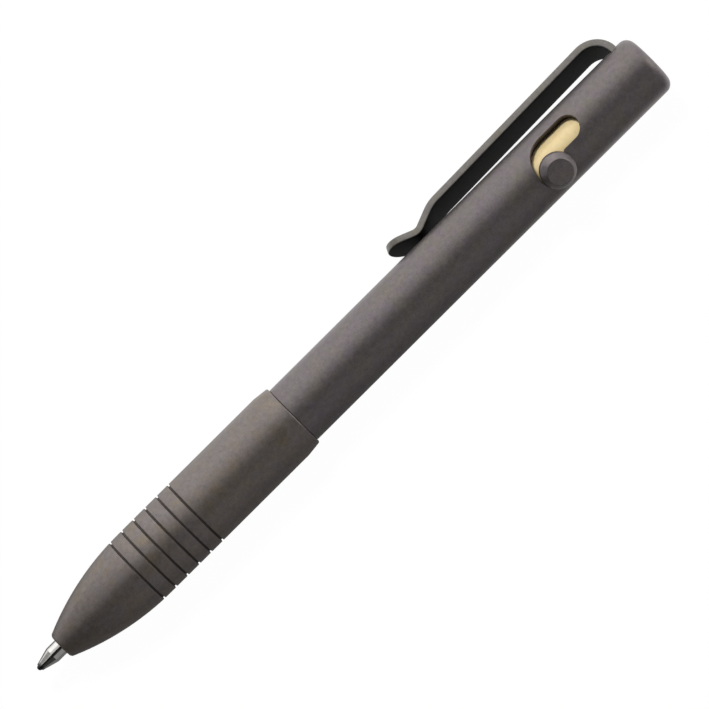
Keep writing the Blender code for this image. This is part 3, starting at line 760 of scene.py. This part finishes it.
@dataclass(frozen=True)
class Grip:
    """The grip section: an ogive nose, a straight grip with six grooves, and a threaded mouth.

    Its rear edge is rows of (radius, distance from the rear face). Its bores are rows of (radius,
    front, rear): the point's hole, the spring's room, the refill's room and the mouth.
    """

    length: float = 45.96
    radius: float = 5.515
    nose_radius: float = 2.03
    nose_length: float = 16.5
    nose_edge: float = 0.2
    first_groove: float = 15.1
    groove_pitch: float = 2.3
    groove_count: int = 6
    groove_width: float = 0.34
    groove_floor: float = 0.6
    groove_depth: float = 0.3
    nose_rows: int = 48
    rear_edge: tuple[Pair, ...] = (
        (5.1, 0.0), (5.26, 0.16), (5.271, 0.26), (5.504, 2.3), (5.515, 2.4))
    bores: tuple[Triple, ...] = (
        (1.35, 0.0, 2.2), (2.2, 2.2, 9.3), (3.15, 9.3, 36.5), (4.05, 36.5, 45.66))
    mouth_flare: float = 0.3
    edge: float = 0.05
    sides: int = 160
    thread: Thread = Thread(36.9, 45.4, 4.05, 0.22)
    thread_rows: Pair = (36.7, 45.5)

    def surface(self, station: Array) -> Array:
        """The outer radius: a circle's arc that runs tangent into the straight grip.

        Args:
            station: stations from the nose face.

        Returns:
            A radius for each.
        """
        rise = self.radius - self.nose_radius
        arc = (self.nose_length**2 + rise**2) / (2 * rise)
        ahead = np.clip(self.nose_length - np.asarray(station), 0.0, None)
        return self.radius - arc + np.sqrt(arc**2 - ahead**2)

    def outer(self) -> Array:
        """The outer profile from the rear edge to the nose, with a trapezium for each groove.

        Returns:
            Rows of (radius, station).
        """
        centres = self.first_groove + self.groove_pitch * np.arange(self.groove_count)[::-1]
        half = self.groove_width / 2
        station = centres[:, None] + half * np.array([1, self.groove_floor, -self.groove_floor, -1])
        radius = self.surface(station) - self.groove_depth * np.array([0.0, 1.0, 1.0, 0.0])
        nose = np.linspace(self.first_groove - 3 * half, self.nose_edge, self.nose_rows)
        return np.concatenate([
            np.array(self.rear_edge) * [1, -1] + [0, self.length],
            np.stack([radius.ravel(), station.ravel()], axis=-1),
            np.stack([self.surface(nose), nose], axis=-1),
            [(self.nose_radius - self.nose_edge, 0.0)],
        ])

    def profile(self) -> Array:
        """The closed profile, with rows in the mouth that are close enough for its thread.

        Returns:
            Rows of (radius, station).
        """
        inner = [(radius, end) for radius, *ends in self.bores for end in ends]
        mouth = (inner[-1][0] + self.mouth_flare, self.length)
        corners = np.concatenate([self.outer(), inner, [mouth]])
        rows = subdivide(soften(corners, self.edge, closed=True), 2.0, closed=True)
        start, end = self.thread_rows
        on_mouth = np.abs(rows[:, 0] - self.thread.radius) < THREAD_MATCH
        threaded = on_mouth & (rows[:, 1] > start - 0.1) & (rows[:, 1] < end)
        first, last = np.flatnonzero(threaded)[[0, -1]]
        fine = at_radius(self.thread.radius, np.arange(start, end, THREAD_STEP))
        return np.concatenate([rows[:first], fine, rows[last + 1:]])

    def painted_shade(self, radius: Array, station: Array) -> Array:
        """The painted shade: it rises to 0.5 at 0.12 mm deep in a groove, outside the mouth."""
        deep = np.clip((self.surface(station) - radius - 0.06) / 0.12, 0.0, 0.5)
        return np.where((radius > 4.6) & (station < 40.0), deep, 0.0)

    def build(self) -> None:
        """Make the grip and its finish."""
        shell = turned(self.profile(), self.sides, True, self.thread.ripple)
        grip = add_piece("grip_shell", shell)
        mark_painted_shade(grip, self.painted_shade)
        fit(grip, Finish.GRIP, Body.GRIP, "grip_section")


@dataclass(frozen=True)
class Slot:
    """The bolt's slot: a run along the barrel that bends round into a hook at its front end.

    Its places are (angle round the pen, station). Outlines are worked out in the wall rolled out
    flat, each point as the mill's centre and an offset from it.
    """

    radius: float = 1.9
    rear: Pair = (math.radians(94.45), 101.3302)
    corner: Pair = (math.radians(94.45), 97.6752)
    foot: Pair = (STEM_ANGLE, 95.4261)
    bend_radius: float = 2.0
    slant: float = math.radians(10.0)
    relief_front: Pair = (STEM_ANGLE, STEM_STATION)
    relief_rear: Pair = (math.radians(83.68), 101.079)
    relief_radius: float = 0.78
    edge: float = 0.05
    rise: float = 0.03
    overcut: float = 1.3
    steps: int = 28
    side_steps: int = 30
    inner_stride: int = 9

    @staticmethod
    def flat(place: Pair) -> Array:
        """A place on the wall rolled out flat: the arc's length and the station."""
        return np.array([place[0] * BARREL_RADIUS, place[1]])

    def run(self, first: Array, last: Array, rounded: bool = True) -> Array:
        """The right-hand wall of a run, and half a circle round its end to its left-hand side.

        Args:
            first: the mill's centre at the run's start.
            last: its centre at the run's end.
            rounded: whether the half circle follows.

        Returns:
            Rows of centre and unit offset.
        """
        along = unit(last - first)
        share = np.linspace(0.0, 1.0, self.side_steps + 1)[1:-1, None]
        centre = first + (last - first) * share
        offset = np.broadcast_to([along[1], -along[0]], centre.shape)
        wall = np.concatenate([centre, offset], axis=1)
        if not rounded:
            return wall
        heading = math.atan2(last[1] - first[1], last[0] - first[0]) - math.pi / 2
        round_end = polar(heading + np.linspace(0.0, math.pi, self.steps), 1.0)
        sweep = np.concatenate([np.broadcast_to(last, round_end.shape), round_end], axis=1)
        return np.concatenate([wall, sweep])

    def main_outline(self) -> Array:
        """The run, its bend and its hook.

        In the bend the mill's centre goes round a circle: the circle's middle plus the bend's
        radius times the outward direction, which is the offset of the outer wall and, turned
        round, of the inner one.

        Returns:
            Rows of centre and unit offset.
        """
        top, corner, foot = (self.flat(place) for place in (self.rear, self.corner, self.foot))
        outward = polar(math.pi + np.linspace(0.0, math.pi / 2 - self.slant, self.steps), 1.0)
        centre = corner + np.array([self.bend_radius, 0.0]) + outward * self.bend_radius
        return np.concatenate([
            self.run(top, corner, rounded=False),
            np.concatenate([centre, outward], axis=1),
            self.run(centre[-1], foot),
            self.run(foot, centre[-1], rounded=False),
            np.concatenate([centre, -outward], axis=1)[::-self.inner_stride],
            self.run(corner, top),
        ])

    def relief_outline(self) -> Array:
        """The straight helical run that the stem sweeps, there and back."""
        ends = self.flat(self.relief_front), self.flat(self.relief_rear)
        return np.concatenate([self.run(*ends), self.run(*ends[::-1])])

    def cutter(self, outline: Array, radius: float, edge: float) -> Shape:
        """Wrap an outline round the pen as a mill would cut it, with a small broken edge.

        At each depth a point is depth times the outward direction at the mill's centre plus the
        offset across it. The depth of the wall's surface under an offset u is the root of
        (barrel radius squared - u squared), and the offsets grow from one edge below it to just
        above it. They stay under the bend's radius, or the bend's inner wall would cross itself.

        Args:
            outline: rows of centre and unit offset.
            radius: the mill's radius.
            edge: width of the broken edge.

        Returns:
            The closed cutter.
        """
        centre, offset = outline[:, :2], outline[:, 2:] * radius
        surface = np.sqrt(BARREL_RADIUS**2 - offset[:, 0] ** 2)
        wide = 1.0 + (edge + self.rise) * (edge > 0) / radius
        inside, outside = BORE_RADIUS / 2 + 0 * surface, self.overcut * BARREL_RADIUS + 0 * surface
        depth = np.stack([inside, surface - edge, surface + self.rise, outside])
        grown = np.array([1.0, 1.0, wide, wide])[:, None]
        angle = centre[None, :, 0] / BARREL_RADIUS
        u, v = offset[None, :, 0] * grown, offset[None, :, 1] * grown
        x, y = rotated(depth, u, angle)
        points = PEN.place(x, y, centre[None, :, 1] + v)
        cap = tessellate_polygon([[Vector((*place, 0.0)) for place in (centre + offset).tolist()]])
        last = (len(depth) - 1) * len(outline)
        faces = grid_faces(len(depth), len(outline))
        faces += [tuple(k + first for k in triangle) for first in (0, last) for triangle in cap]
        return points, faces

    def cutters(self) -> list[Shape]:
        """Both cutters: the slot with its broken edge, and the stem's relief."""
        main = self.cutter(self.main_outline(), self.radius, self.edge)
        return [main, self.cutter(self.relief_outline(), self.relief_radius, 0.0)]


# Stations of the barrel's rings, close together where the openings are cut
WALL_STATIONS = np.concatenate([
    np.arange(114.9, 112.4, -0.25), np.arange(111.0, 105.0, -1.0),
    np.arange(104.5, 92.0, -0.35), np.arange(90.0, 47.0, -3.0), [46.05],
])
BORE_STATIONS = np.concatenate([
    [40.0, 50.0, 65.0, 80.0, 90.0], np.arange(92.0, 105.0, 0.5),
    [108.0, 111.0, 113.0, 115.0, 116.6],
])


@dataclass(frozen=True)
class Barrel:
    """The barrel, its threaded neck, its slot, the clip's opening, and the plug in the tail.

    The plug is rows of (radius, station), down to the bottom of its screw's hole. The clip's
    opening and the pocket for its tab are each (lowest x, half the width).
    """

    neck_front: float = 36.6
    neck_radius: float = 3.95
    neck_edge: float = 0.3
    shoulder: float = 46.0
    shoulder_edge: float = 0.05
    tail_round: float = 1.5
    plug: tuple[Pair, ...] = (
        (0.0, TAIL), (3.2, TAIL), (3.2, 109.955), (1.1, 109.955), (1.1, LEG_STATION),
        (0.0, LEG_STATION))
    plug_edge: float = 0.08
    leg_half_length: float = 0.645
    leg_opening: Pair = (2.62, 2.98)
    tab_pocket: Pair = (-1.33, 1.63)
    clear_of_wall: float = 6.0
    cut_between: Pair = (92.0, 115.0)
    recess_radius: float = 4.78
    sides: int = 256
    thread: Thread = Thread(37.1, 45.0, 3.95, -0.22)
    slot: Slot = Slot()

    def profile(self) -> Array:
        """The barrel's closed profile: rounded tail, outer wall, neck and bore.

        Returns:
            Rows of (radius, station).
        """
        centre = np.array([BARREL_RADIUS - self.tail_round, TAIL - self.tail_round])
        neck = np.arange(self.shoulder - 0.1, self.neck_front + self.neck_edge, -THREAD_STEP)
        return np.concatenate([
            centre + polar(np.linspace(math.pi / 2, 0.0, 17), self.tail_round),
            at_radius(BARREL_RADIUS, WALL_STATIONS),
            [(BARREL_RADIUS - self.shoulder_edge, self.shoulder)],
            [(self.neck_radius, self.shoulder)],
            at_radius(self.neck_radius, neck),
            [(self.neck_radius - self.neck_edge, self.neck_front), (BORE_RADIUS, self.neck_front)],
            at_radius(BORE_RADIUS, BORE_STATIONS),
            [(BORE_RADIUS + 0.02, TAIL)],
        ])

    def leg_block(self, foot: float, half_width: float) -> Shape:
        """The room for a part of the clip's leg: a block from its foot to above the wall."""
        front, rear = LEG_STATION - self.leg_half_length, LEG_STATION + self.leg_half_length
        return block((foot, -half_width, front), (self.clear_of_wall, half_width, rear))

    def painted_shade(self, radius: Array, station: Array) -> Array:
        """The painted shade: it rises with the depth in the openings' walls and in the bore."""
        cut = (station > self.cut_between[0]) & (station < self.cut_between[1])
        return np.where(cut, (self.recess_radius - radius) / RECESS_DEPTH, 0.0)

    def build(self) -> None:
        """Make the barrel and the plug, with their openings."""
        opening, pocket = self.leg_block(*self.leg_opening), self.leg_block(*self.tab_pocket)
        tube = turned(self.profile(), self.sides, True, self.thread.ripple)
        barrel = add_piece("barrel_tube", tube)
        carve(barrel, [*self.slot.cutters(), opening])
        mark_painted_shade(barrel, self.painted_shade)
        fit(barrel, Finish.BARREL, Body.PEN, "barrel")
        rows = soften(np.array(self.plug), self.plug_edge)
        plug = add_piece("tail_plug", turned(rows, SIDES))
        carve(plug, [opening, pocket])
        fit(plug, Finish.BARREL, Body.PEN, "end_plug")


# Clip
@dataclass(frozen=True)
class Clip:
    """The pocket clip: one strip with a round tip, a dimple, a shoulder and a bent leg.

    The corners of its middle line are (x, station), from the tip to the end of the leg's tab.
    """

    corners: tuple[Pair, ...] = (
        (7.53, 71.53), (5.315, 76.56), (7.03, 80.51), (7.745, LEG_STATION), (-1.2, LEG_STATION))
    radii: tuple[float, ...] = (1.7, 5.5, 3.6)
    width: float = 5.7
    tab_width: float = 3.0
    thickness: float = 1.03
    edge: float = 0.13
    leg_foot: float = 3.05
    taper: float = 0.3
    arc_steps: int = 26
    tip_steps: int = 20
    spacing: float = 0.9

    def centre_line(self) -> Array:
        """The strip's middle line: straight runs with a circle's arc in each bend.

        Returns:
            Rows of (x, station) from the tip to the tab's end.
        """
        corners = np.array(self.corners)
        path = [corners[:1]]
        for before, corner, after, radius in zip(corners, corners[1:], corners[2:], self.radii):
            arriving, leaving = unit(corner - before), unit(after - corner)
            half_turn = math.acos(float(arriving @ leaving)) / 2
            centre = corner + unit(leaving - arriving) * radius / math.cos(half_turn)
            start = corner - arriving * radius * math.tan(half_turn) - centre
            turning = arriving[0] * leaving[1] - arriving[1] * leaving[0]
            spin = np.linspace(0.0, math.copysign(2 * half_turn, turning), self.arc_steps)
            path.append(centre + np.stack(rotated(*start, spin), axis=-1))
        path.append(corners[-1:])
        return subdivide(np.concatenate(path), self.spacing)

    def section(self) -> Array:
        """The strip's edge and faces.

        Each edge is a quarter circle at the top and one at the bottom; the faces run straight
        across between the two edges.

        Returns:
            Rows of (share of the width, inset, height).
        """
        half, edge = self.thickness / 2, self.edge
        quarter = np.linspace(0.0, math.pi / 2, 5)
        inset, drop = edge * (1 - np.sin(quarter)), edge * (1 - np.cos(quarter))
        top = np.stack([1 + 0 * quarter, inset, half - drop], axis=-1)
        right = np.concatenate([top, top[::-1] * [1, 1, -1]])
        left = right[::-1] * [-1, 1, 1]
        across = np.linspace(1.0, -1.0, 9)[1:-1]
        under = np.stack([across, edge + 0 * across, -half + 0 * across], axis=-1)
        return np.concatenate([right, under, left, under[::-1] * [1, 1, -1]])

    def surface(self) -> tuple[Shape, Array]:
        """Carry the section along the middle line.

        A point is the middle line at distance s, plus its height times the outward normal, plus
        its share times the half width across. At the tip the inset outline is a circle: s is the
        half width less (half width - inset) times cos(turn), and the width follows sin(turn).

        Returns:
            The closed strip, and each point's painted shade, which is high on the inner face.
        """
        line = self.centre_line()
        reach = distances(line)
        half, total = self.width / 2, reach[-1]
        leg_end = total - (self.leg_foot - self.corners[-1][0])
        turn = np.linspace(0.0, math.pi / 2, self.tip_steps)[:, None]
        straight = reach[(reach > half + 0.1) & (reach < leg_end - 0.05)]
        tab = np.array([leg_end, leg_end + self.taper, total - 0.6, total])
        share, inset, height = [self.section()[None, :, k] for k in range(3)]
        rest = np.concatenate([straight, tab])
        rest_half = np.interp(rest, tab[:2], [half, self.tab_width / 2])
        s = np.concatenate([half - (half - inset) * np.cos(turn), rest[:, None] + 0 * inset])
        w = np.concatenate([(half - inset) * np.sin(turn), rest_half[:, None] - inset])
        tangent = unit(np.gradient(line, reach, axis=0))
        x, a, tx, ta = [np.interp(s, reach, row) for row in (*line.T, *tangent.T)]
        length = np.hypot(tx, ta)
        x, a = x + height * ta / length, a - height * tx / length
        points = PEN.place(x, share * w, a)
        rows, columns = s.shape
        faces = grid_faces(rows, columns)
        faces.append([(rows - 1) * columns + k for k in range(columns)])
        # Painted shade over the whole inner face, where the strip faces the barrel.
        inner_face = height < 0.001 - self.thickness / 2
        return (points, faces), np.broadcast_to(inner_face, s.shape).ravel()

    def build(self) -> None:
        """Make the clip."""
        fit(add_piece("pocket_clip", *self.surface()), Finish.CLIP, Body.CLIP, "clip")


# Bolt
@dataclass(frozen=True)
class Bolt:
    """The knob on its stem, and the brass plunger that it screws into.

    The knob is rows of (radius, height above the pen's axis): a flat face, a steep band, a
    cylindrical rim and the stem. The hole for the stem is (radius, lowest, highest).
    """

    knob: tuple[Pair, ...] = (
        (0.0, 6.85), (1.93, 6.85), (2.625, 5.95), (2.675, 5.6), (2.675, 5.02), (0.7, 5.02),
        (0.7, 1.95), (0.0, 1.95))
    knob_edge: float = 0.12
    plunger_radius: float = 3.15
    plunger_edge: float = 0.08
    plunger: Pair = (93.5554, 104.5302)
    hole: Triple = (0.75, 1.85, 4.0)

    def build(self) -> None:
        """Make the knob and the plunger, drilled for the stem."""
        rows = soften(np.array(self.knob), self.knob_edge, 5)
        knob = add_piece("knob", turned_on_stem(rows, SIDES))
        fit(knob, Finish.KNOB, Body.BOLT, "bolt_knob")
        front, rear = self.plunger
        radius, (drill, low, high) = self.plunger_radius, self.hole
        corners = np.array([(0.0, rear), (radius, rear), (radius, front), (0.0, front)])
        rows = subdivide(soften(corners, self.plunger_edge), ROW_SPACING)
        plunger = add_piece("plunger_rod", turned(rows, SIDES))
        hole = np.array([(0.0, low), (drill, low), (drill, high), (0.0, high)])
        carve(plunger, [turned_on_stem(hole, 64)])
        # Painted shade on the plunger's front end, fading out from 0.2 to 0.5 mm behind its front
        # face.
        mark_painted_shade(plunger, lambda r, a: (front + 0.5 - a) / RECESS_DEPTH + 0 * r)
        fit(plunger, Finish.BRASS, Body.BOLT, "plunger")


# Refill
@dataclass(frozen=True)
class Refill:
    """The refill's point and ball, its return spring, and its tube and cap as packed.

    The point is rows of (radius, station): tube, cone, the lip round the ball, the ball's socket
    and the ink bore.
    """

    ball_station: float = -4.18
    ball_radius: float = 0.42
    point: tuple[Pair, ...] = (
        (0.6, 10.2), (1.25, 10.2), (1.25, -1.73), (0.56, -4.18), (0.47, -4.18), (0.47, -3.71),
        (0.2, -3.51), (0.2, -2.51), (0.6, -1.91))
    point_edge: float = 0.04
    spring_radius: float = 1.725
    wire_radius: float = 0.2
    wire_sides: int = 12
    spring: Pair = (2.5, 9.2)
    spring_seats: Pair = (2.3, 9.3)
    turns: int = 7
    turn_steps: int = 36
    closed_rise: float = 2.1

    def ball(self) -> Shape:
        """A sphere: radius times the sine and cosine of the angle from the front pole.

        Returns:
            The points in metres, and the faces.
        """
        turn = np.linspace(0.0, math.pi, 25)
        profile = np.stack([np.sin(turn), -np.cos(turn)], axis=-1) * self.ball_radius
        return turned(profile + [0, self.ball_station], 48)

    def coil(self) -> Shape:
        """The spring: a circle of the wire's radius carried along a helix.

        The helix is the coil's radius times cos(turn) and sin(turn), at a station that rises
        slowly over the first and the last turn and evenly between them.

        Returns:
            The closed wire.
        """
        turn = np.linspace(0.0, math.tau * self.turns, self.turns * self.turn_steps + 1)
        low, high = self.spring
        along = np.array([0.0, 1.0, self.turns - 1.0, float(self.turns)]) * math.tau
        closed = self.closed_rise * self.wire_radius
        station = np.interp(turn, along, [low, low + closed, high - closed, high])
        line = np.concatenate([polar(turn, self.spring_radius), station[:, None]], axis=1)
        outward = np.concatenate([polar(turn, 1.0), 0 * station[:, None]], axis=1)
        upward = np.cross(unit(np.gradient(line, axis=0)), outward)
        spin = np.linspace(0.0, math.tau, self.wire_sides, endpoint=False)[None, :, None]
        ring = outward[:, None] * np.cos(spin) + upward[:, None] * np.sin(spin)
        places = line[:, None] + ring * self.wire_radius
        points = PEN.place(places[..., 0], places[..., 1], places[..., 2])
        faces = grid_faces(len(turn), self.wire_sides)
        starts = (0, (len(turn) - 1) * self.wire_sides)
        faces += [[first + k for k in range(self.wire_sides)] for first in starts]
        return points, faces

    def build(self) -> None:
        """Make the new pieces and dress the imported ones."""
        corners = soften(np.array(self.point), self.point_edge, closed=True)
        rows = subdivide(corners, ROW_SPACING, closed=True)
        point = add_piece("point_tube", turned(rows, 96, True))
        # Painted shade on the lip round the ball: full from the tip back to station -4.05, gone by
        # -3.95.
        mark_painted_shade(point, lambda r, a: (-3.95 - a) / 0.1 + 0 * r)
        fit(point, Finish.POINT, Body.REFILL, "writing_point")
        fit(add_piece("point_ball", self.ball()), Finish.BALL, Body.REFILL, "tip_ball")
        spring = add_piece("spring_coil", self.coil())
        dress(spring, Finish.SPRING)
        seat = PEN.place(0.0, 0.0, np.array(self.spring_seats))
        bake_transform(spring)
        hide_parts("return_spring")
        packed = {"refill_tube": Finish.TUBE, "refill_cap": Finish.CAP, "clip_screw": Finish.SCREW}
        for node, finish in packed.items():
            dress(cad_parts[node], finish)


# Studio
@dataclass(frozen=True)
class Lamp:
    """A soft lamp that faces the pen's middle, for shine, for light or for both."""

    name: str
    place: Triple
    size: float
    power: float
    shine: bool = True
    light: bool = True

    def build(self, target: Vector) -> None:
        """Add the lamp.

        Args:
            target: the place that it is turned to.
        """
        data = bpy.data.lights.new(self.name, "AREA")
        data.size = self.size
        data.energy = self.power
        lamp = add_object(self.name, data)
        lamp.location = self.place
        lamp.rotation_euler = (target - Vector(self.place)).to_track_quat("-Z", "Y").to_euler()
        lamp.visible_glossy = self.shine
        lamp.visible_diffuse = self.light


@dataclass(frozen=True)
class Card:
    """A card beside the pen, bent round it, that only reflections see, as in product photographs.

    It runs from one angle off straight up to another, towards a heading: 0 is towards -Y, and 90
    degrees towards -X. Its reach is from one place to another on the line across that.
    """

    name: str
    start: float
    end: float
    shade: float
    heading: float = 0.0
    reach: Pair = (-0.7, 0.7)
    distance: float = 0.5
    rows: int = 9

    def build(self) -> None:
        """Add the card: distance times (sine of the angle sideways, cosine of it upwards)."""
        angle = np.radians(np.linspace(self.start, self.end, self.rows))[:, None]
        along, sideways = np.array([self.reach]), -self.distance * np.sin(angle)
        x, y = rotated(along, sideways, -math.radians(self.heading))
        upward = self.distance * np.cos(angle)
        places = np.stack(np.broadcast_arrays(x, y, upward), axis=-1).reshape(-1, 3)
        card = add_piece(self.name, (places, grid_faces(self.rows, 2, loop_columns=False)))
        material, tree, _, _ = start_material(self.name)
        shade = (self.shade, self.shade, self.shade)
        tree.show(tree.add("ShaderNodeEmission", Color=shade, Strength=1.0).outputs[0])
        card.data.materials.append(material)
        card.visible_camera = False
        card.visible_shadow = False


@dataclass(frozen=True)
class Studio:
    """A white sweep, soft lamps, cards and the camera of the photograph.

    In reflections the floor is lit from one place to another along its slope, from dim to bright.
    """

    target: Triple = (0.002025, -0.001556, 0.005516)
    distance: float = 0.912
    lens: float = 330.04
    tilt: float = math.radians(3.86)
    roll: float = math.radians(44.857)
    floor_half: float = 1.5
    floor_colour: Triple = (0.9, 0.9, 0.9)
    floor_roughness: float = 0.9
    floor_glow: float = 0.98
    floor_slope: Triple = (0.25, 1.0, 0.0)
    lit_between: Pair = (-0.006, 0.008)
    lit_strength: Pair = (0.25, 1.5)
    world_strength: float = 0.85
    lamps: tuple[Lamp, ...] = (
        Lamp("key", (0.25, 0.7, 0.34), 1.0, 3.0, light=False),
        Lamp("tail_light", (0.7, -0.05, 0.16), 0.3, 0.6),
        Lamp("top_light", (0.1, 0.435, 0.742), 0.12, 7.2, shine=False),
    )
    cards: tuple[Card, ...] = (
        Card("dark_card", -9.0, 30.0, 0.02),
        Card("grey_card", 30.0, 93.0, 0.42, reach=(-0.25, 0.7)),
        Card("nose_card", 30.0, 93.0, 0.06, reach=(-0.7, -0.25)),
        Card("end_card", 50.0, 90.0, 0.02, heading=90.0, reach=(-0.15, 0.7)),
        Card("left_card", 42.0, 93.0, 0.5, heading=125.0, reach=(-0.2, 0.2)),
    )

    @staticmethod
    def seen(tree: NodeTree) -> NodeSocket:
        """Which rays see the white surround.

        Args:
            tree: the tree helper of the world or the floor.

        Returns:
            A socket with 1 for a ray from the camera, a reflection or a clear body, else 0.
        """
        path = tree.add("ShaderNodeLightPath").outputs
        either = tree.math("MAXIMUM", path["Is Camera Ray"], path["Is Glossy Ray"])
        return tree.math("MAXIMUM", either, path["Is Transmission Ray"])

    def glow(self, tree: NodeTree, where: NodeSocket) -> NodeSocket:
        """The floor's glow: 1 to the camera, and in reflections brighter along its slope.

        Args:
            tree: the floor's tree helper.
            where: the place on the floor.

        Returns:
            The glow's shader socket.
        """
        across = tree.add(
            "ShaderNodeVectorMath", operation="DOT_PRODUCT", _0=where, _1=self.floor_slope)
        lit = tree.spread(across.outputs["Value"], self.lit_between, self.lit_strength)
        camera = tree.add("ShaderNodeLightPath").outputs["Is Camera Ray"]
        strength = tree.add(
            "ShaderNodeMix", data_type="FLOAT", _0=camera, _2=lit, _3=1.0)
        white = (1.0, 1.0, 1.0)
        return tree.add("ShaderNodeEmission", Color=white, Strength=strength.outputs[0]).outputs[0]

    def build_world(self) -> None:
        """White to the eye and in reflections, and a weak soft light otherwise."""
        world = bpy.data.worlds.new("white surround")
        world.use_nodes = True
        tree = NodeTree(world.node_tree)
        strength = tree.spread(self.seen(tree), WHOLE, (self.world_strength, 1.0))
        background = world.node_tree.nodes["Background"]
        tree.feed(background, Color=(1.0, 1.0, 1.0), Strength=strength)
        bpy.context.scene.world = world

    def build_floor(self) -> None:
        """A pale floor that glows to the eye, so that only a faint shadow is left on it."""
        half = self.floor_half
        mesh = bpy.data.meshes.new("floor")
        corners = [(-half, -half, 0.0), (half, -half, 0.0), (half, half, 0.0), (-half, half, 0.0)]
        mesh.from_pydata(corners, [], [(0, 1, 2, 3)])
        floor = add_object("floor", mesh)
        material, tree, shader, where = start_material("pale floor")
        tree.feed(shader, Base_Color=self.floor_colour, Roughness=self.floor_roughness)
        share = tree.math("MULTIPLY", self.seen(tree), self.floor_glow)
        tree.show(tree.add("ShaderNodeMixShader", _0=share, _1=shader.outputs["BSDF"],
                           _2=self.glow(tree, where)).outputs[0])
        mesh.materials.append(material)

    def build_camera(self) -> None:
        """The camera, looking down at the pen and rolled so that it rises to the right."""
        toward = Vector((0.0, -math.sin(self.tilt), math.cos(self.tilt)))
        axis = Vector((1.0, 0.0, 0.0))
        upper = toward.cross(axis)
        right = axis * math.cos(self.roll) - upper * math.sin(self.roll)
        up = axis * math.sin(self.roll) + upper * math.cos(self.roll)
        data = bpy.data.cameras.new("camera")
        data.lens = self.lens
        data.clip_start = 0.01
        camera = add_object("camera", data)
        place = Vector(self.target) + toward * self.distance
        basis = Matrix((right, up, toward)).transposed().to_4x4()
        camera.matrix_world = Matrix.Translation(place) @ basis
        bpy.context.scene.camera = camera

    def build(self) -> None:
        """Set up world, floor, lamps, cards and camera."""
        bpy.context.scene.view_settings.view_transform = "Standard"
        self.build_world()
        self.build_floor()
        for lamp in self.lamps:
            lamp.build(Vector(self.target))
        for card in self.cards:
            card.build()
        self.build_camera()


def write_sizes() -> None:
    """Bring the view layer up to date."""
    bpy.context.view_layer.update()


def main() -> None:
    """Build the pen's sub-assemblies in order, then the studio."""
    logging.basicConfig(level=logging.INFO, format="%(name)s: %(message)s")
    for part in (Grip(), Barrel(), Clip(), Bolt(), Refill(), Studio()):
        part.build()
    write_sizes()


if __name__ == "__main__":
    main()
